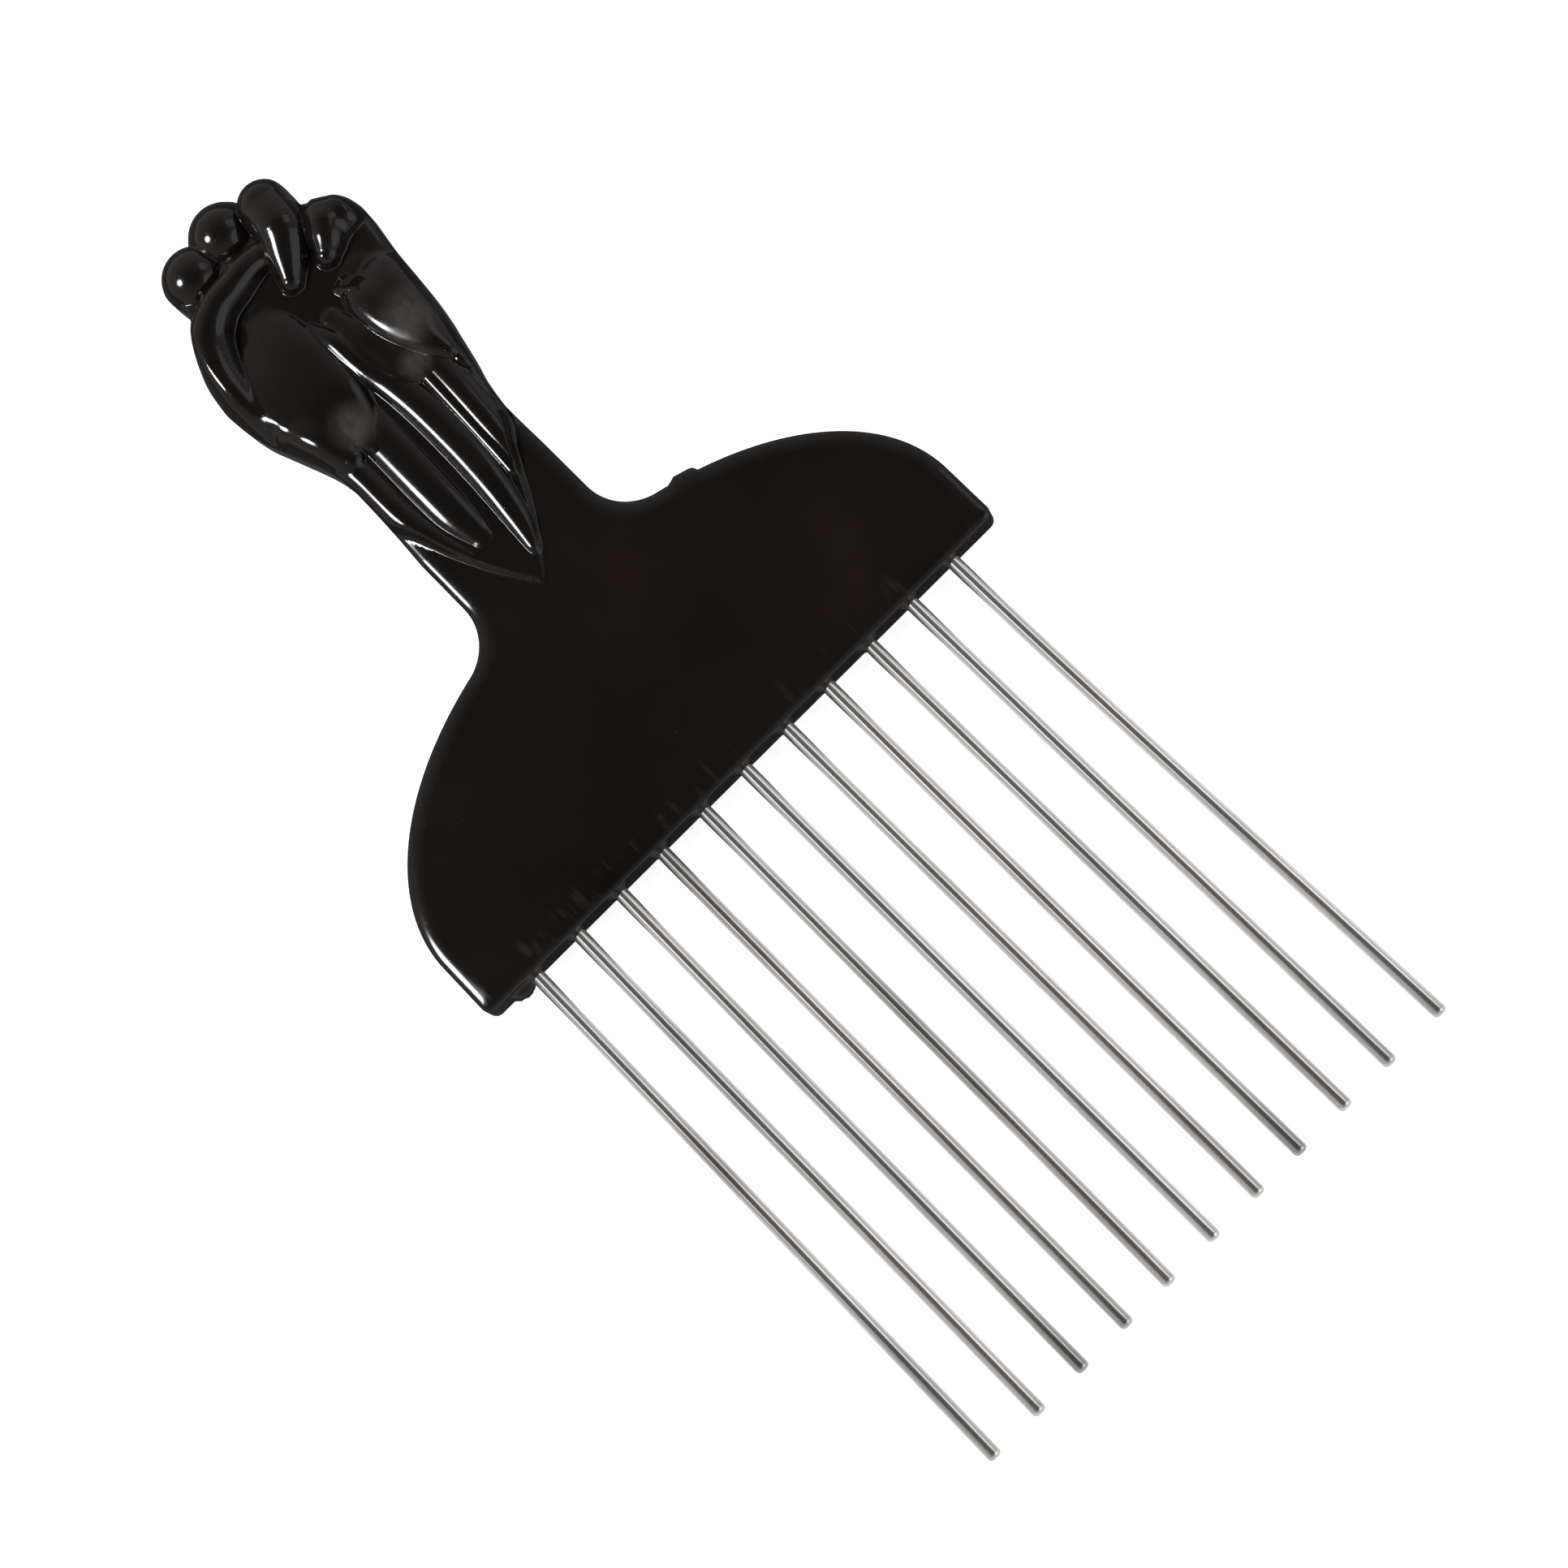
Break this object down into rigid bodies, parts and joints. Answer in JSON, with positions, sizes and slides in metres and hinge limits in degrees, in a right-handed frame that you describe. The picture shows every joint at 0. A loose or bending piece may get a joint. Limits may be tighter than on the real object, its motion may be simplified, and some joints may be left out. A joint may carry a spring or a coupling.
{
  "type": "afro pick",
  "caption": "Wide-toothed hair pick: straight steel wire tines set in a half-moon plastic head, with a handle moulded as a raised fist in relief.",
  "frame": {"origin": "centre of the pick's outline in X and Y, on the plane of its flat back", "axes": "+X across the head, +Y from the tines towards the fist, +Z out of the flat back towards the relief"},
  "size_m": [0.0836, 0.1778, 0.011],
  "materials": {
    "black_plastic": "glossy injection moulding",
    "tine_steel": "bright drawn wire"
  },
  "bodies": {
    "root": {"handle": "black_plastic", "tine_01": "tine_steel", "tine_02": "tine_steel", "tine_03": "tine_steel", "tine_04": "tine_steel", "tine_05": "tine_steel", "tine_06": "tine_steel", "tine_07": "tine_steel", "tine_08": "tine_steel", "tine_09": "tine_steel", "tine_10": "tine_steel", "tine_11": "tine_steel"}
  },
  "joints": []
}
